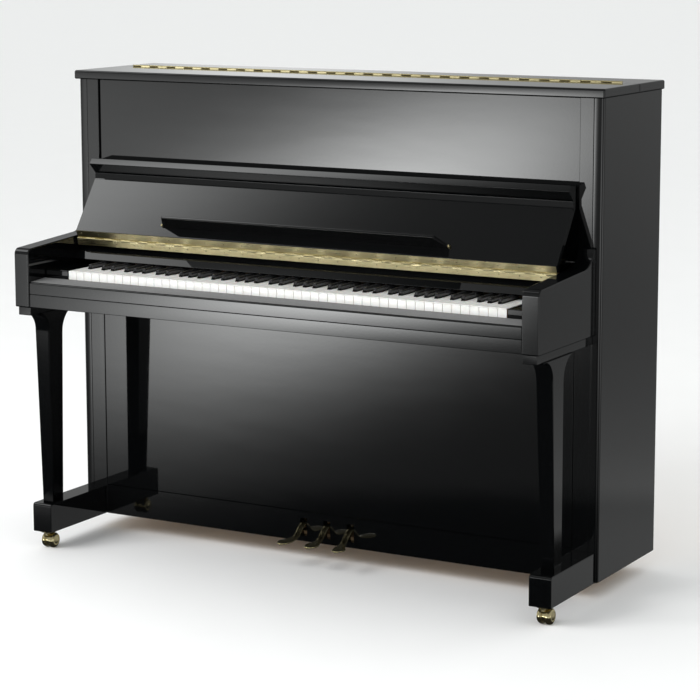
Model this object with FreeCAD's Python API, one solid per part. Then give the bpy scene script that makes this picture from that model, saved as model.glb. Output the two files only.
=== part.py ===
"""Upright piano: case, keyboard, pedals, casters, lid, fallboard and the parts inside.

Millimetres, +Z up. X runs from the bass end (-) to the treble end (+), and the keyboard faces -Y.
The origin is on the floor under the middle of the piano.
"""
import FreeCAD
import Part
import math
import os
from FreeCAD import Vector as V

# ---- case ----------------------------------------------------------------------------------------
CASE_HALF = 740.0        # outer face of the side panels
CASE_FRONT = -21.0       # front plane of side panels, stiles, lower panel
CASE_BACK = 328.0
CASE_FLOOR = 48.0        # underside of the case
SIDE_THICK = 25.0
SIDE_INNER = CASE_HALF - SIDE_THICK
FRONT_ROUND = 9.0        # roundover of the side panels' front edges
STILE_INNER = 680.0
STILE_DEPTH = 26.0
RECESS = 6.0             # upper panel behind the stiles
PANEL_THICK = 20.0
UPPER_FOOT = 784.0       # lower edge of the upper panel, just over the shelf behind the keys
RAIL_TOP = 126.0         # bottom rail meets the lower panel

LID_HALF = 746.0
LID_TOP = 1220.0
LID_THICK = 22.0
LID_UNDER = LID_TOP - LID_THICK
LID_FRONT = -33.0
LID_BACK = 331.0
LID_SPLIT = 173.0        # line between the folding front part and the fixed rear part
LID_GAP = 0.4            # half the gap at that line
LID_ROUND = 5.0
LID_HINGE_HALF = 702.0
LID_LEAF_REACH = 14.0    # from the line to the far edge of a hinge leaf
LEAF_THICK = 1.2

# ---- arms, legs and toes -------------------------------------------------------------------------
ARM_IN = 682.0
ARM_OUT = 725.0
ARM_FRONT = -331.0
ARM_UNDER = 643.0
PLATE_UNDER = 622.0
LEG_BACK = -191.0
TOE_IN = 676.0
TOE_OUT = 733.0
TOE_TOP = 121.6
TOE_UNDER = 47.0
TOE_FRONT = -266.6

# ---- keyboard ------------------------------------------------------------------------------------
KEY_COUNT = 88
WHITE_PITCH = 23.5
WHITE_COUNT = 52
KEY_GAP = 0.9
KEY_TOP = 732.4
KEY_UNDER = 710.0
KEY_FRONT = -258.8
KEY_BACK = 130.0
HEAD_LEN = 50.0          # full-width front part of a white key
SHARP_WIDTH = 11.0
SHARP_TOP = 744.0
SHARP_FRONT = KEY_FRONT + HEAD_LEN + 1.0
SHARP_BACK = -109.0
BALANCE_Y = -30.0        # the line that the keys rock on
BED_UNDER = 644.0
BED_TOP = 676.8
BED_FRONT = -328.0
SLIP_TOP = 707.2         # at its front; it rises to the back to hide the keys' undersides
SLIP_RISE = 3.8
SLIP_BACK = KEY_FRONT - 3.2

# ---- fallboard -----------------------------------------------------------------------------------
FALL_HALF = 676.0
FALL_AXIS = (-129.4, 797.0)          # hinge line, (y, z)
FALL_LEAN = math.radians(34.8)       # from upright, when open
FALL_THICK = 16.0
FALL_EDGE = 4.0                      # from the hinge line to the back of the panel's lower edge
FALL_BEVEL = 10.0                    # rise of that edge from its back to its front
FALL_PANEL_TOP = 165.0
RAIL_LIP = (-71.0, 983.2)            # lowest front corner of the lipped rail, (y, z)
RAIL_CREST = (-60.5, 997.2)
RAIL_BACK_TOP = 992.5
RAIL_HOLLOW = (-45.4, 958.5)         # inner corner under the lip
KNUCKLE_R = 2.0
KNUCKLE_LEN = 27.0
HINGE_PIN_R = 1.0
HINGE_FIT = 0.06                     # radial running clearance
STRIP_TOP = (-128.0, 794.5)          # front face of the strip that carries the hinge, (y, z)
STRIP_FOOT = (-125.4, 779.5)
NAME_FOOT = (-143.0, 745.6)          # front foot of the sloping board under the strip
NAME_HEAD_Y = -107.9
SHELF_MIDDLE = -13.0
SHELF_HALF = 403.0
SHELF_TAPER = 20.0                   # each end slants in by this much towards the free edge
SHELF_DEPTH = 45.0
SHELF_HALF_THICK = 3.6
SHELF_RISE = math.pi - FALL_LEAN     # open direction of the music shelf, from +Y: square to the panel
SHELF_UP = 44.0                      # from the hinge line up the panel to the shelf
SHELF_OFF = 4.6                      # from the panel's face to the shelf's pivots
SHELF_PIN_R = 1.5

# ---- pedals, casters -----------------------------------------------------------------------------
PEDAL_SPACING = 68.0
PEDAL_SPLAY = 11.0
PEDAL_AXIS_Z = 100.0
PEDAL_AXES_Y = (40.0, 80.0, 120.0)   # rock shafts of the left, middle and right pedal
ROD_XS = (-689.0, -672.0, -655.0)
CRANK = 45.0
CASTER_X = 705.0
CASTER_Y = -239.0
REAR_CASTER = (640.0, 290.0)
WHEEL_R = 19.5
WHEEL_W = 13.0
TRAIL = 8.0

# ---- strings and frame ---------------------------------------------------------------------------
STRING_Y = 168.0
PLATE_FRONT = 180.0
PLATE_BACK = 192.0
BOARD_FRONT = 222.0
BOARD_THICK = 8.0
POST_FRONT = 250.0
HAMMER_AXIS = (98.0, 880.0)
DAMPER_AXIS = (128.0, 815.0)

NAMES = ["c", "c_sharp", "d", "d_sharp", "e", "f", "f_sharp", "g", "g_sharp", "a", "a_sharp", "b"]
SHARPS = {1: -2.5, 3: 2.5, 6: -3.5, 8: 0.0, 10: 3.5}     # pitch class: shift from the joint of two whites


# ---- helpers -------------------------------------------------------------------------------------
def box(x0, x1, y0, y1, z0, z1):
    """A block between two corners."""
    return Part.makeBox(x1 - x0, y1 - y0, z1 - z0, V(x0, y0, z0))


def both(x0, x1, y0, y1, z0, z1):
    """The same block on the right and, mirrored, on the left."""
    return [box(x0, x1, y0, y1, z0, z1), box(-x1, -x0, y0, y1, z0, z1)]


def rod(x, y, z, radius, length, axis=(0, 0, 1)):
    """A cylinder from a point along an axis."""
    return Part.makeCylinder(radius, length, V(x, y, z), V(*axis))


def prism_x(points, x0, x1):
    """A (y, z) outline carried along X."""
    wire = Part.makePolygon([V(x0, y, z) for y, z in points + points[:1]])
    return Part.Face(wire).extrude(V(x1 - x0, 0, 0))


def prism_y(points, y0, y1):
    """An (x, z) outline carried along Y."""
    wire = Part.makePolygon([V(x, y0, z) for x, z in points + points[:1]])
    return Part.Face(wire).extrude(V(0, y1 - y0, 0))


def prism_z(points, z0, z1):
    """An (x, y) outline carried along Z."""
    wire = Part.makePolygon([V(x, y, z0) for x, y in points + points[:1]])
    return Part.Face(wire).extrude(V(0, 0, z1 - z0))


def edges_where(shape, test):
    """Straight edges whose two ends both pass the test."""
    found = []
    for edge in shape.Edges:
        ends = [v.Point for v in edge.Vertexes]
        if len(ends) == 2 and all(test(p) for p in ends):
            found.append(edge)
    return found


def rounded(shape, radius, test):
    """The shape with the chosen edges rounded."""
    return shape.makeFillet(radius, edges_where(shape, test))


def mirrored(shape):
    """The same shape at the other end of the piano."""
    return shape.mirror(V(0, 0, 0), V(1, 0, 0))


def arc_points(cy, cz, radius, start, end, count):
    """Points round a circle, angles in degrees."""
    turns = [math.radians(start + (end - start) * i / count) for i in range(count + 1)]
    return [(cy + radius * math.cos(t), cz + radius * math.sin(t)) for t in turns]


def near(a, b):
    return abs(a - b) < 0.01


def fall_point(s, n):
    """A point on the open fallboard: s up the panel from the hinge line, n out of its face."""
    sin, cos = math.sin(FALL_LEAN), math.cos(FALL_LEAN)
    return (FALL_AXIS[0] + s * sin - n * cos, FALL_AXIS[1] + s * cos + n * sin)


def save(name, *shapes):
    """Write one node, as one solid or as a group of separate solids."""
    solids = [s for shape in shapes for s in shape.Solids]
    for solid in solids:
        if not solid.isValid():
            print("not valid:", name)
    whole = solids[0] if len(solids) == 1 else Part.makeCompound(solids)
    whole.exportStep("parts/" + name + ".step")
    print(name, len(solids), "solid(s)")


# ---- case ----------------------------------------------------------------------------------------
def side_panel():
    """Right side panel, with its front outer edge rounded."""
    side = box(SIDE_INNER, CASE_HALF, CASE_FRONT, CASE_BACK, CASE_FLOOR, LID_UNDER)
    return rounded(side, FRONT_ROUND, lambda p: near(p.x, CASE_HALF) and near(p.y, CASE_FRONT))


def lid(y0, y1, front):
    """A part of the lid, rounded along its outer edges and rebated for its hinge leaf."""
    board = box(-LID_HALF, LID_HALF, y0, y1, LID_UNDER, LID_TOP)
    outer = (lambda p: near(p.z, LID_TOP) and (near(abs(p.x), LID_HALF) or near(p.y, front)))
    keep = [e for e in edges_where(board, outer)
            if abs(e.CenterOfMass.x) > LID_HALF - 1 or near(e.CenterOfMass.y, front)]
    half, reach = LID_HINGE_HALF + 0.5, LID_LEAF_REACH + 0.2
    rebate = box(-half, half, LID_SPLIT - reach, LID_SPLIT + reach, LID_TOP - LEAF_THICK, LID_TOP + 1)
    return board.makeFillet(LID_ROUND, keep).cut(rebate)


def hinge_leaf(half, axis_y, axis_z, leaf, web, odd, pin):
    """One leaf of a continuous hinge: a strip, its tubes and the webs that join them.

    leaf is the (y, z) outline of the strip and web the outline that reaches the hinge line.
    The leaf that holds the pin has it fused in; the other one's tubes are bored to run on it.
    """
    shape = prism_x(leaf, -half, half)
    count = int(2 * half / KNUCKLE_LEN)
    for i in range(odd, count, 2):
        x0 = -half + i * KNUCKLE_LEN + 0.2
        x1 = x0 + KNUCKLE_LEN - 0.4
        tube = rod(x0, axis_y, axis_z, KNUCKLE_R, x1 - x0, (1, 0, 0)).fuse(prism_x(web, x0, x1))
        if not pin:
            tube = tube.cut(rod(x0 - 1, axis_y, axis_z, HINGE_PIN_R + HINGE_FIT, x1 - x0 + 2, (1, 0, 0)))
        shape = shape.fuse(tube)
    if pin:
        shape = shape.fuse(rod(-half + 1, axis_y, axis_z, HINGE_PIN_R, 2 * half - 2, (1, 0, 0)))
    return shape


def lid_hinge(side):
    """A leaf of the lid's hinge, let into the lid; side is -1 for the front leaf, 1 for the rear."""
    axis_z = LID_TOP + KNUCKLE_R + 0.6
    near_y = LID_SPLIT + side * (KNUCKLE_R + 0.6)
    far_y = LID_SPLIT + side * LID_LEAF_REACH
    low, tube_y = LID_TOP - LEAF_THICK, LID_SPLIT + side * 1.2
    leaf = [(near_y, low), (far_y, low), (far_y, LID_TOP), (near_y, LID_TOP)]
    web = [(near_y + side, low + 0.2), (near_y + side, LID_TOP), (tube_y, axis_z + 0.4),
           (tube_y, LID_TOP + 0.8)]
    if side > 0:
        leaf.reverse()
        web.reverse()
    return hinge_leaf(LID_HINGE_HALF, LID_SPLIT, axis_z, leaf, web, 0 if side > 0 else 1, side > 0)


def bottom_rail():
    """The rail under the lower panel, slotted for the three pedals."""
    half, back = STILE_INNER - 7.5, CASE_FRONT + PANEL_THICK
    rail = box(-half, half, CASE_FRONT, back, CASE_FLOOR, RAIL_TOP - 1)
    for i in (-1, 0, 1):
        x = i * PEDAL_SPACING
        rail = rail.cut(box(x - 10, x + 10, CASE_FRONT - 1, back + 1, 62, 108))
    return rail


def front_stiles():
    """The two upright posts between the side panels and the front panels."""
    lower = both(STILE_INNER - 7, SIDE_INNER, CASE_FRONT, CASE_FRONT + STILE_DEPTH, CASE_FLOOR, BED_UNDER)
    upper = both(STILE_INNER, SIDE_INNER, CASE_FRONT, CASE_FRONT + STILE_DEPTH, BED_UNDER, LID_UNDER)
    return [a.fuse(b).removeSplitter() for a, b in zip(lower, upper)]


def arm():
    """Right arm: a level board with a round nose, whose top sweeps up to the case in a hollow curve."""
    nose_r, nose_z = 16.0, 792.0
    nose = arc_points(ARM_FRONT + nose_r, nose_z - nose_r, nose_r, 180, 96, 8)
    sweep_r = 62.0
    rise = [(-88.0, 805.0)] + arc_points(-88.0, 805.0 + sweep_r, sweep_r, 280, 340, 10)
    top = rise[-1]
    outline = [(ARM_FRONT, ARM_UNDER)] + nose + rise + [(CASE_FRONT, top[1] + 6), (CASE_FRONT, ARM_UNDER)]
    return prism_x(outline, ARM_IN, ARM_OUT)


def leg():
    """Right leg: a square post, tapered in front and inside, whose head flares out to the arm."""
    top_z, bottom_z = 600.0, TOE_TOP
    front_top, front_bottom = -253.0, -234.0
    ins_top, ins_bottom, outer = 681.0, 691.0, 724.5
    lower = Part.makePolygon([V(ins_bottom, front_bottom, bottom_z), V(outer, front_bottom, bottom_z),
                              V(outer, LEG_BACK, bottom_z), V(ins_bottom, LEG_BACK, bottom_z),
                              V(ins_bottom, front_bottom, bottom_z)])
    upper = Part.makePolygon([V(ins_top, front_top, top_z), V(outer, front_top, top_z),
                              V(outer, LEG_BACK, top_z), V(ins_top, LEG_BACK, top_z),
                              V(ins_top, front_top, top_z)])
    post = Part.makeLoft([lower, upper], True, True)
    front_r, back_r = 46.0, 58.0
    front = [(y, z) for y, z in arc_points(front_top - front_r, PLATE_UNDER - front_r, front_r, 0, 90, 9)]
    back = [(y, z) for y, z in arc_points(LEG_BACK + back_r, PLATE_UNDER - back_r, back_r, 180, 90, 9)]
    low = min(front[0][1], back[0][1])
    outline = [(front_top, low)] + front + back[::-1]
    head = prism_x(outline, ins_top, outer)
    return post.common(box(0, 900, -400, 0, 0, low)).fuse(head).removeSplitter()


def arm_plate():
    """The flat board between the right arm and its leg, back to the case."""
    return box(ARM_IN, 719.0, ARM_FRONT + 6, CASE_FRONT - 0.2, PLATE_UNDER, ARM_UNDER)


def toe():
    """Right toe: the block from the case to the front caster, bored for the caster's stem."""
    block = box(TOE_IN, TOE_OUT, TOE_FRONT, CASE_FRONT, TOE_UNDER, TOE_TOP)
    block = rounded(block, 7.0, lambda p: near(p.z, TOE_TOP) and near(p.y, TOE_FRONT))
    return block.cut(rod(CASTER_X, CASTER_Y, TOE_UNDER - 1, 5.05, 31))


# ---- keyboard ------------------------------------------------------------------------------------
def key_bed():
    """The shelf that carries the keyboard, notched at the bass end for the pedal rods."""
    front = box(-ARM_IN + 0.5, ARM_IN - 0.5, BED_FRONT, CASE_FRONT - 0.2, BED_UNDER, BED_TOP)
    rear = box(-STILE_INNER, STILE_INNER, CASE_FRONT - 0.2, 145, BED_UNDER, BED_TOP)
    notch = box(-STILE_INNER - 1, -645, 60, 146, BED_UNDER - 1, BED_TOP + 1)
    return front.fuse(rear).removeSplitter().cut(notch)


def key_frame():
    """Front, balance and back rails on the key bed, with the pins that guide the keys."""
    span = WHITE_COUNT * WHITE_PITCH / 2
    rest = KEY_UNDER - 1.4
    rails = [box(-span, span, -250, -182, BED_TOP, 698),
             box(-span, span, BALANCE_Y - 14, BALANCE_Y + 14, BED_TOP, rest),
             box(-span, span, 100, 128, BED_TOP, rest)]
    pins = []
    for key in all_keys():
        pins.append(rod(key["mid"], BALANCE_Y, 700, 1.9, 34))
        pins.append(rod(key["mid_front"], pin_line(key), 690, 1.7, 24))
    return rails, pins


def all_keys():
    """Where each of the keys lies: its pitch class and the X limits of its head and tail."""
    left = -WHITE_COUNT * WHITE_PITCH / 2
    keys, white = [], 0
    for number in range(KEY_COUNT):
        pitch = (number + 9) % 12
        if pitch in SHARPS:
            middle = left + white * WHITE_PITCH + SHARPS[pitch]
            keys.append({"pitch": pitch, "white": False, "mid": middle, "mid_front": middle,
                         "tail": (middle - SHARP_WIDTH / 2, middle + SHARP_WIDTH / 2)})
        else:
            x0 = left + white * WHITE_PITCH
            head = (x0 + KEY_GAP / 2, x0 + WHITE_PITCH - KEY_GAP / 2)
            keys.append({"pitch": pitch, "white": True, "head": head})
            white += 1
    for i, key in enumerate(keys):
        if key["white"]:
            low, high = key["head"]
            if i and not keys[i - 1]["white"]:
                low = keys[i - 1]["tail"][1] + KEY_GAP
            if i + 1 < len(keys) and not keys[i + 1]["white"]:
                high = keys[i + 1]["tail"][0] - KEY_GAP
            key["tail"] = (low, high)
            key["mid"] = (low + high) / 2
            key["mid_front"] = sum(key["head"]) / 2
    return keys


def white_key(key):
    """A white key: full width in front, narrower between the black keys, drilled for its pins."""
    (h0, h1), (t0, t1) = key["head"], key["tail"]
    split = KEY_FRONT + HEAD_LEN
    outline = [(h0, KEY_FRONT), (h1, KEY_FRONT), (h1, split), (t1, split), (t1, KEY_BACK), (t0, KEY_BACK),
               (t0, split), (h0, split)]
    plan = []
    for point in outline:
        if not plan or point != plan[-1]:
            plan.append(point)
    body = prism_z(plan, KEY_UNDER, KEY_TOP)
    return drilled(body, key)


def black_key(key):
    """A black key: a stick under a raised cap that narrows upwards and slopes at its front."""
    t0, t1 = key["tail"]
    stick = box(t0, t1, SHARP_FRONT + 2, KEY_BACK, KEY_UNDER, KEY_TOP - 2)
    base = Part.makePolygon([V(t0, SHARP_FRONT, KEY_TOP - 2), V(t1, SHARP_FRONT, KEY_TOP - 2),
                             V(t1, SHARP_BACK, KEY_TOP - 2), V(t0, SHARP_BACK, KEY_TOP - 2),
                             V(t0, SHARP_FRONT, KEY_TOP - 2)])
    crown = Part.makePolygon([V(t0 + 0.9, SHARP_FRONT + 6, SHARP_TOP), V(t1 - 0.9, SHARP_FRONT + 6, SHARP_TOP),
                              V(t1 - 0.9, SHARP_BACK, SHARP_TOP), V(t0 + 0.9, SHARP_BACK, SHARP_TOP),
                              V(t0 + 0.9, SHARP_FRONT + 6, SHARP_TOP)])
    cap = Part.makeLoft([base, crown], True, True)
    return drilled(stick.fuse(cap), key)


def pin_line(key):
    """The Y of a key's front pin: two rows, one for the white keys and one for the black."""
    return -236.0 if key["white"] else -195.0


def drilled(body, key):
    """The key with its balance hole and the slot for its front pin."""
    body = body.cut(rod(key["mid"], BALANCE_Y, KEY_UNDER - 1, 3.0, 40))
    x, y = key["mid_front"], pin_line(key)
    return body.cut(box(x - 2.4, x + 2.4, y - 4.5, y + 4.5, KEY_UNDER - 1, KEY_UNDER + 15))


# ---- fallboard -----------------------------------------------------------------------------------
BEVEL_LEN = math.hypot(FALL_BEVEL, FALL_THICK)


def bevel_point(along, off):
    """A point by the panel's lower edge: along it from its back corner, and off it, away from the panel."""
    rise, out = FALL_BEVEL / BEVEL_LEN, FALL_THICK / BEVEL_LEN
    return fall_point(FALL_EDGE + along * rise - off * out, along * out + off * rise)


def fallboard_panel():
    """The leaning panel behind the keys, bevelled along its lower edge."""
    outline = [bevel_point(0, 0), bevel_point(BEVEL_LEN, 0), fall_point(FALL_PANEL_TOP, FALL_THICK),
               fall_point(FALL_PANEL_TOP, 0)]
    return prism_x(outline, -FALL_HALF, FALL_HALF)


def fallboard_rail():
    """The lipped rail along the top of the fallboard, hollow under its lip."""
    back_y = CASE_FRONT + RECESS - 1.5
    back_s = (back_y - FALL_AXIS[0]) / math.sin(FALL_LEAN)
    outline = [fall_point(FALL_PANEL_TOP, FALL_THICK), fall_point(FALL_PANEL_TOP + 3, FALL_THICK),
               RAIL_HOLLOW, RAIL_LIP, RAIL_CREST, (back_y, RAIL_BACK_TOP), fall_point(back_s, 0),
               fall_point(FALL_PANEL_TOP, 0)]
    return prism_x(outline, -FALL_HALF, FALL_HALF)


def nameboard():
    """The strip that carries the fallboard's hinge, the sloping board under it and the shelf behind."""
    shelf_top, shelf_under, strip_back = 783.0, 771.0, -92.0
    slope_back = (NAME_FOOT[0] + 17.3, NAME_FOOT[1])
    outline = [STRIP_TOP, STRIP_FOOT, (NAME_HEAD_Y, STRIP_FOOT[1]), NAME_FOOT, slope_back,
               (-99.4, shelf_under), (CASE_FRONT - 0.2, shelf_under), (CASE_FRONT - 0.2, shelf_top),
               (strip_back, shelf_top), (strip_back, STRIP_TOP[1])]
    return prism_x(outline, -ARM_IN + 1, ARM_IN - 1)


def fallboard_hinge(moving):
    """A leaf of the fallboard's hinge: one on the strip's face, the other under the panel's edge."""
    y, z = FALL_AXIS
    if moving:
        start, end = -0.8, BEVEL_LEN - 0.4
        leaf = [bevel_point(start, LEAF_THICK), bevel_point(end, LEAF_THICK), bevel_point(end, 0),
                bevel_point(start, 0)]
        web = [fall_point(0.9, -0.6), fall_point(0.9, 0.6), fall_point(FALL_EDGE - 0.4, 0.6),
               fall_point(FALL_EDGE - 0.4, -0.6)]
    else:
        foot = (STRIP_FOOT[0] - 0.1, STRIP_FOOT[1] + 0.5)
        head = (STRIP_TOP[0], STRIP_TOP[1] - 0.1)
        front = head[0] - LEAF_THICK
        leaf = [(foot[0] - LEAF_THICK, foot[1]), foot, head, (front, head[1])]
        web = [(front, z - 3.2), (head[0] - 0.1, z - 3.2), (head[0] - 0.1, z - 1.0), (front, z - 1.0)]
    return hinge_leaf(FALL_HALF - 1, y, z, leaf, web, 1 if moving else 0, not moving)


SHELF_AXIS = fall_point(SHELF_UP, FALL_THICK + SHELF_OFF)


def music_shelf():
    """The narrow shelf for music, with slanted ends and a rounded root that its pivots enter."""
    y, z = SHELF_AXIS
    along = (math.cos(SHELF_RISE), math.sin(SHELF_RISE))
    across = (-along[1], along[0])

    def at(x, reach):
        return V(SHELF_MIDDLE + x, y + reach * along[0] - SHELF_HALF_THICK * across[0],
                 z + reach * along[1] - SHELF_HALF_THICK * across[1])

    free = SHELF_HALF - SHELF_TAPER
    plan = [at(-SHELF_HALF, 0), at(SHELF_HALF, 0), at(free, SHELF_DEPTH), at(-free, SHELF_DEPTH),
            at(-SHELF_HALF, 0)]
    board = Part.Face(Part.makePolygon(plan)).extrude(V(0, *across) * 2 * SHELF_HALF_THICK)
    shelf = board.fuse(rod(SHELF_MIDDLE - SHELF_HALF, y, z, SHELF_HALF_THICK, 2 * SHELF_HALF, (1, 0, 0)))
    for sign in (-1, 1):
        end = SHELF_MIDDLE + sign * (SHELF_HALF + 1)
        shelf = shelf.cut(rod(end, y, z, SHELF_PIN_R + HINGE_FIT, 15, (-sign, 0, 0)))
    return shelf


def shelf_brackets():
    """Two small brass brackets on the fallboard, each with the pin that the shelf turns on."""
    y, z = SHELF_AXIS
    off, foot_half, head_half = FALL_THICK + SHELF_OFF, 3.8, 3.4
    made = []
    for sign in (-1, 1):
        x0, x1 = sorted(SHELF_MIDDLE + sign * (SHELF_HALF + d) for d in (0.6, 4.0))
        ear = rod(x0, y, z, head_half, x1 - x0, (1, 0, 0))
        foot = [fall_point(SHELF_UP - foot_half, FALL_THICK), fall_point(SHELF_UP + foot_half, FALL_THICK),
                fall_point(SHELF_UP + head_half, off), fall_point(SHELF_UP - head_half, off)]
        pin = rod(SHELF_MIDDLE + sign * (SHELF_HALF + 2), y, z, SHELF_PIN_R, 14, (-sign, 0, 0))
        made.append(ear.fuse(prism_x(foot, x0, x1)).fuse(pin))
    return made


# ---- pedals and trapwork -------------------------------------------------------------------------
def pedal(index):
    """A brass pedal, its rock shaft to the bass end and the crank there that lifts a rod."""
    side = index - 1
    x, head_x = side * PEDAL_SPACING, side * (PEDAL_SPACING + PEDAL_SPLAY)
    axis_y = PEDAL_AXES_Y[index]
    half_w, thick = 8.0, 7.0
    spine = [(axis_y, PEDAL_AXIS_Z), (-4.0, 97.0), (-20.0, 95.0), (-34.0, 88.0), (-47.0, 75.0),
             (-58.0, 67.0), (-72.0, 63.5)]
    top = [(y, z + thick / 2) for y, z in spine]
    under = [(y, z - thick / 2) for y, z in reversed(spine)]
    neck = prism_x(top + under, x - half_w, x + half_w)
    reach = [(x - half_w, -55.0), (x + half_w, -55.0), (head_x + 12, -92.0), (head_x - 12, -92.0)]
    bridge = prism_z([reach[0], reach[3], reach[2], reach[1]], 59.0, 66.0)
    bridge = bridge.common(box(-200, 200, -92, -62, 50, 80))
    head = Part.makeCylinder(1.0, 7.5, V(0, 0, 58.5))
    stretch = FreeCAD.Matrix()
    stretch.A11, stretch.A22 = 17.0, 30.0
    head = head.transformGeometry(stretch)
    head.translate(V(head_x, -92, 0))
    lever = neck.fuse(bridge).fuse(head)
    shaft_end = ROD_XS[index] - 8
    shaft = rod(shaft_end, axis_y, PEDAL_AXIS_Z, 6.0, x + 16 - shaft_end, (1, 0, 0))
    crank_x = ROD_XS[index]
    crank = box(crank_x - 5, crank_x + 5, axis_y, axis_y + CRANK + 8, PEDAL_AXIS_Z - 4, PEDAL_AXIS_Z + 4)
    return lever.fuse(shaft), crank.fuse(rod(crank_x - 5, axis_y, PEDAL_AXIS_Z, 8.5, 10, (1, 0, 0))).cut(
        rod(crank_x - 6, axis_y, PEDAL_AXIS_Z, 6.0, 12, (1, 0, 0)))


def bottom_board():
    """The floor of the case, with the bearing blocks of the rock shafts."""
    board = box(-SIDE_INNER, SIDE_INNER, CASE_FRONT + STILE_DEPTH, 240, CASE_FLOOR, CASE_FLOOR + 20)
    for index, y in enumerate(PEDAL_AXES_Y):
        for x in (-610.0, -340.0, (index - 1.5) * PEDAL_SPACING):
            block = box(x - 10, x + 10, y - 12, y + 12, CASE_FLOOR + 20, PEDAL_AXIS_Z + 14)
            board = board.fuse(block.cut(rod(x - 11, y, PEDAL_AXIS_Z, 6.06, 22, (1, 0, 0))))
    return board


def pedal_rod(index):
    """An upright dowel from a crank to the action, with a felt-tipped foot."""
    tops = (1040.0, 1062.0, 860.0)
    y = PEDAL_AXES_Y[index] + CRANK
    dowel = rod(ROD_XS[index], y, PEDAL_AXIS_Z + 5.5, 5.0, tops[index] - PEDAL_AXIS_Z - 5.5)
    return dowel


# ---- casters -------------------------------------------------------------------------------------
def caster(x, y, top, stem):
    """A twin-wheel brass caster at a point: the body, and the wheels with their axle."""
    wheel_y = y + TRAIL
    plate = rod(x, y, 42.7, 21.0, top - 42.7)
    plate = plate.makeFillet(1.8, [e for e in plate.Edges if near(e.CenterOfMass.z, 42.7)])
    neck = rod(x, y, 34.0, 12.0, 9.5)
    hub = rod(x - 5, wheel_y, WHEEL_R, 15.5, 10, (1, 0, 0))
    body = plate.fuse(neck.common(box(x - 5, x + 5, y - 20, y + 20, 30, 46)).fuse(hub))
    body = body.fuse(rod(x, y, 40.0, 12.0, 4.0))
    if stem:
        body = body.fuse(rod(x, y, 44.0, 5.0, 31.0))
    body = body.cut(rod(x - 6, wheel_y, WHEEL_R, 3.06, 12, (1, 0, 0)))
    wheels = rod(x - 5.5, wheel_y, WHEEL_R, 3.0, 11, (1, 0, 0))
    for sign in (-1, 1):
        wheel = rod(x + sign * 5.4, wheel_y, WHEEL_R, WHEEL_R, WHEEL_W, (sign, 0, 0))
        far = x + sign * (5.4 + WHEEL_W)
        wheel = wheel.makeFillet(8.0, [e for e in wheel.Edges if near(e.CenterOfMass.x, far)])
        wheels = wheels.fuse(wheel)
    return body, wheels


# ---- back, soundboard, plate and strings ---------------------------------------------------------
def back_frame():
    """Five upright posts between a top and a bottom beam, with the pin block in front of the top one."""
    top = box(-SIDE_INNER, SIDE_INNER, 240, CASE_BACK - 1, 1090, 1190)
    low = box(-SIDE_INNER, SIDE_INNER, 240.5, CASE_BACK - 1, CASE_FLOOR, 150)
    posts = [box(x - 34, x + 34, POST_FRONT, CASE_BACK - 1, 150, 1090) for x in (-670, -335, 0, 335, 670)]
    pin_block = box(-SIDE_INNER, SIDE_INNER, PLATE_BACK, 240, 1090, 1180)
    return [top, low, pin_block] + posts


def soundboard():
    """The spruce board, its slanting ribs behind and its two bridges in front."""
    board = box(-SIDE_INNER, SIDE_INNER, BOARD_FRONT, BOARD_FRONT + BOARD_THICK, 155, 1088)
    ribs = []
    for i in range(9):
        x = -560 + i * 140
        slant = [(x - 70, 250), (x - 46, 250), (x + 94, 1000), (x + 70, 1000)]
        ribs.append(prism_y(slant, BOARD_FRONT + BOARD_THICK, BOARD_FRONT + BOARD_THICK + 18))
    bridges = []
    for x0, x1, z0, z1 in ((-640, -420, 330, 300), (-380, -140, 480, 560), (-80, 240, 600, 800),
                           (300, 640, 850, 990)):
        line = [(x0, z0), (x1, z1), (x1, z1 + 30), (x0, z0 + 30)]
        bridges.append(prism_y(line, STRING_Y + 2, BOARD_FRONT))
    return [board] + ribs + bridges


def iron_plate():
    """The cast plate: a solid head and foot joined by struts, open over the bridges."""
    plate = box(-SIDE_INNER + 2, SIDE_INNER - 2, PLATE_FRONT, PLATE_BACK, 170, 1186)
    for x0, x1, low in ((-690, -405, 260), (-395, -115, 380), (-100, 265, 520), (285, 690, 720)):
        plate = plate.cut(box(x0, x1, PLATE_FRONT - 1, PLATE_BACK + 1, low, 1045))
    rims = [box(x - 5, x + 5, PLATE_FRONT - 9, PLATE_FRONT, 300, 1050) for x in (-400, -107, 275)]
    for rim in rims:
        plate = plate.fuse(rim)
    return plate


def string_rows():
    """For each note, the top and bottom of its string: fanned out in the bass, upright in the treble."""
    rows = []
    for note in range(KEY_COUNT):
        part = note / (KEY_COUNT - 1.0)
        x_top = -640 + 1270 * part
        lean = 150 * max(0.0, 0.32 - part)
        foot = 235 + 700 * max(0.0, part - 0.25) ** 1.15
        rows.append((x_top, 1120.0 + 16 * (note % 3), x_top + lean, min(foot, 800.0)))
    return rows


def strings_and_pins():
    """One wire for each note, and the tuning pin that holds it."""
    wires, pins = [], []
    for note, (x0, z0, x1, z1) in enumerate(string_rows()):
        radius = 1.6 if note < 26 else 0.7
        top, foot = V(x0, STRING_Y, z0), V(x1, STRING_Y, z1)
        wires.append(Part.makeCylinder(radius, (foot - top).Length, top, foot - top))
        pins.append(rod(x0 + 5.3, STRING_Y - 8, z0, 3.4, 56, (0, 1, 0)))
    return wires, pins


# ---- action --------------------------------------------------------------------------------------
def action_frame():
    """Two long beams on four brackets, standing on the key bed outside the keys."""
    beams = [box(-638, 638, 60, 78, 800, 850), box(-638, 638, 60, 74, 900, 930)]
    brackets = []
    for x in (-636, 636):
        brackets.append(box(x - 4, x + 4, 50, 78, BED_TOP, 1080))
    for x in (-212, 212):
        brackets.append(box(x - 4, x + 4, 50, 60, 745, 1080))
    return beams + brackets


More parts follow.
